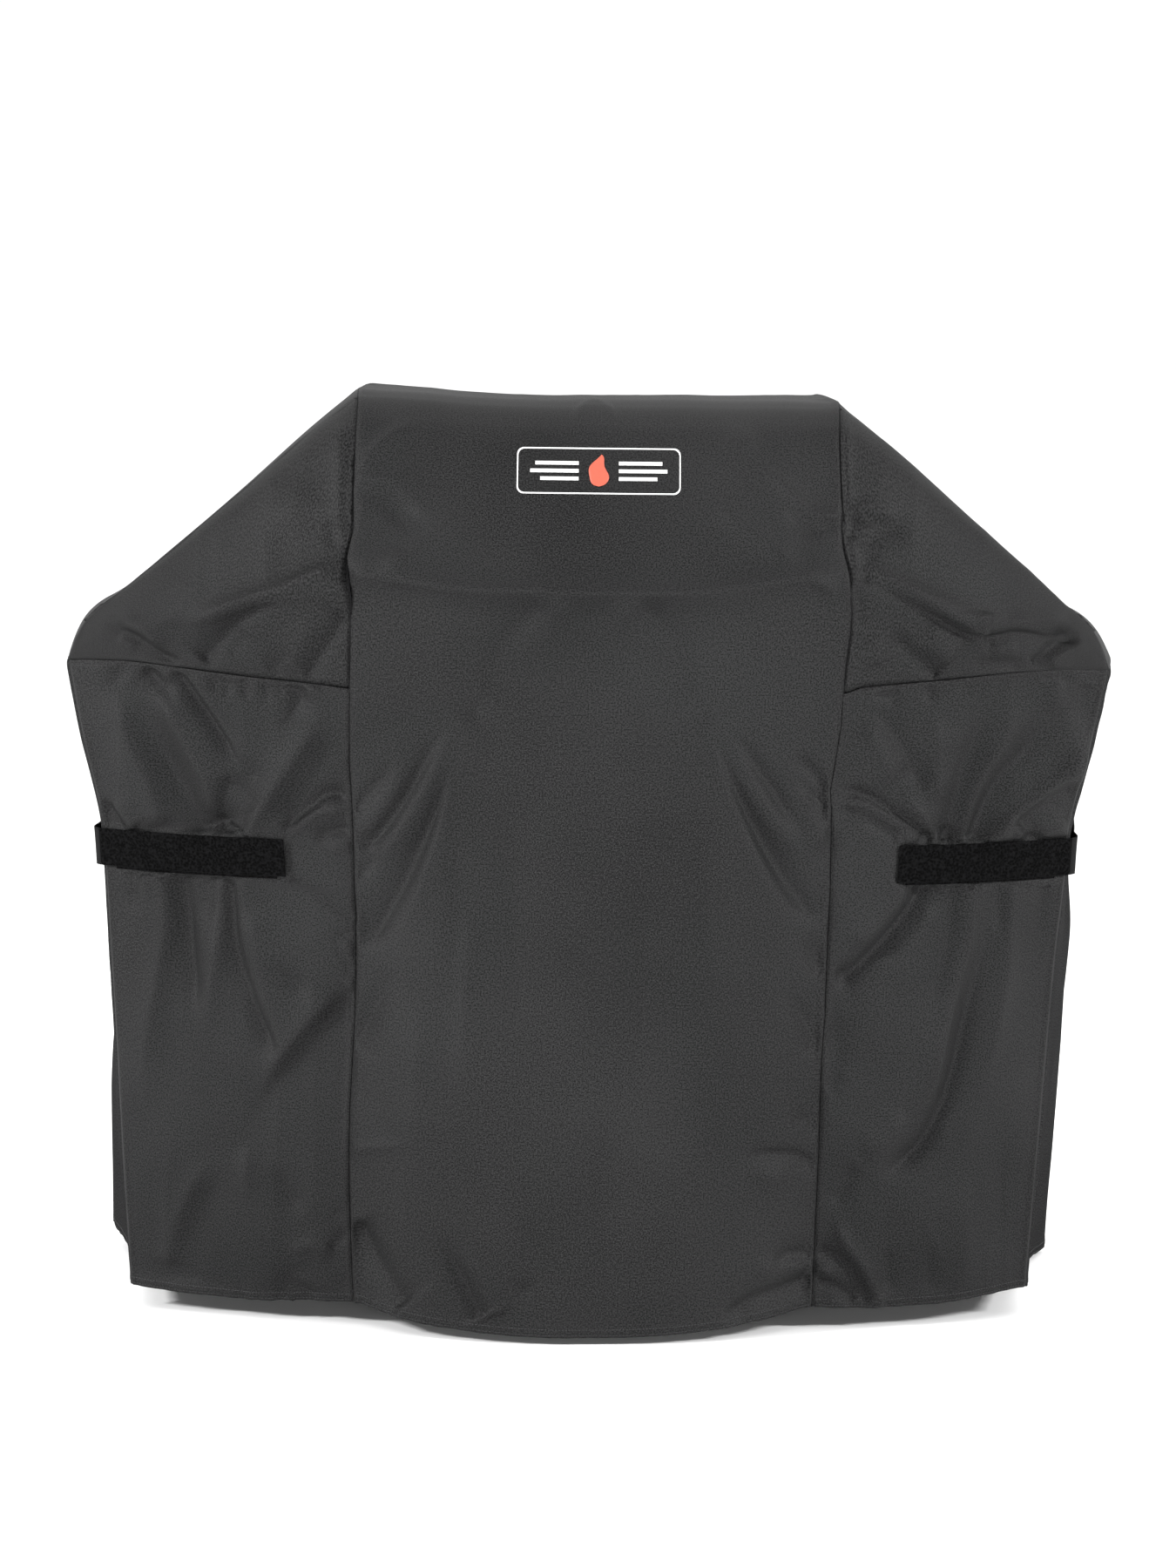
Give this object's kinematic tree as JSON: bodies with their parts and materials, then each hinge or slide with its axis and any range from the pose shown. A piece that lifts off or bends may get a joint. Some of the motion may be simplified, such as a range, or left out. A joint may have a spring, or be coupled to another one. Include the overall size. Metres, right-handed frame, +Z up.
{
  "type": "grill cover",
  "caption": "Fitted fabric cover for a cart grill with side shelves: a centre strip over the lid, sloping shoulders, straight skirts and cinch straps that peel open.",
  "frame": {"origin": "middle of the flat under the top, where the grill's lid holds the cover up", "axes": "+Z up, -Y out of the front, +X towards the right side as seen from the front"},
  "size_m": [1.3044, 0.6462, 1.1272],
  "materials": {
    "cloth": "plain-woven coated polyester, charcoal, matte with a faint sheen on the folds",
    "hem_cloth": "the same cloth turned up and stitched in two rows",
    "binding": "black woven tape over the raw edges",
    "strap_pile": "black hook-and-loop pile, dull and grainy",
    "strap_webbing": "grey-black flat webbing",
    "badge_white": "matte white transfer print",
    "badge_flame": "matte orange-red transfer print"
  },
  "bodies": {
    "cover": {"centre_panel": "cloth", "centre_back_panel": "cloth", "left_shoulder_front": "cloth", "left_shoulder_roof": "cloth", "left_shoulder_back": "cloth", "left_skirt_front": "cloth", "left_skirt_side": "cloth", "left_skirt_back": "cloth", "right_shoulder_front": "cloth", "right_shoulder_roof": "cloth", "right_shoulder_back": "cloth", "right_skirt_front": "cloth", "right_skirt_side": "cloth", "right_skirt_back": "cloth", "centre_front_hem": "hem_cloth", "centre_back_hem": "hem_cloth", "left_front_hem": "hem_cloth", "left_side_hem": "hem_cloth", "left_back_hem": "hem_cloth", "right_front_hem": "hem_cloth", "right_side_hem": "hem_cloth", "right_back_hem": "hem_cloth", "left_centre_seam_binding": "binding", "left_shoulder_seam_binding": "binding", "left_front_corner_binding": "binding", "left_rear_corner_binding": "binding", "right_centre_seam_binding": "binding", "right_shoulder_seam_binding": "binding", "right_front_corner_binding": "binding", "right_rear_corner_binding": "binding", "left_strap_band": "strap_webbing", "left_strap_pad": "strap_pile", "right_strap_band": "strap_webbing", "right_strap_pad": "strap_pile", "badge_border": "badge_white", "badge_bar_left": "badge_white", "badge_bar_right": "badge_white", "badge_flame": "badge_flame"},
    "left_tail": {"left_strap_tail": "strap_pile"},
    "right_tail": {"right_strap_tail": "strap_pile"}
  },
  "joints": [
    {"name": "left_strap_peel", "type": "hinge", "parent": "cover", "child": "left_tail", "pos_m": [-0.592, -0.145, -0.56], "axis": [0, 0, -1], "range_deg": [0, 150]},
    {"name": "right_strap_peel", "type": "hinge", "parent": "cover", "child": "right_tail", "pos_m": [0.592, -0.145, -0.56], "axis": [0, 0, 1], "range_deg": [0, 150]}
  ]
}
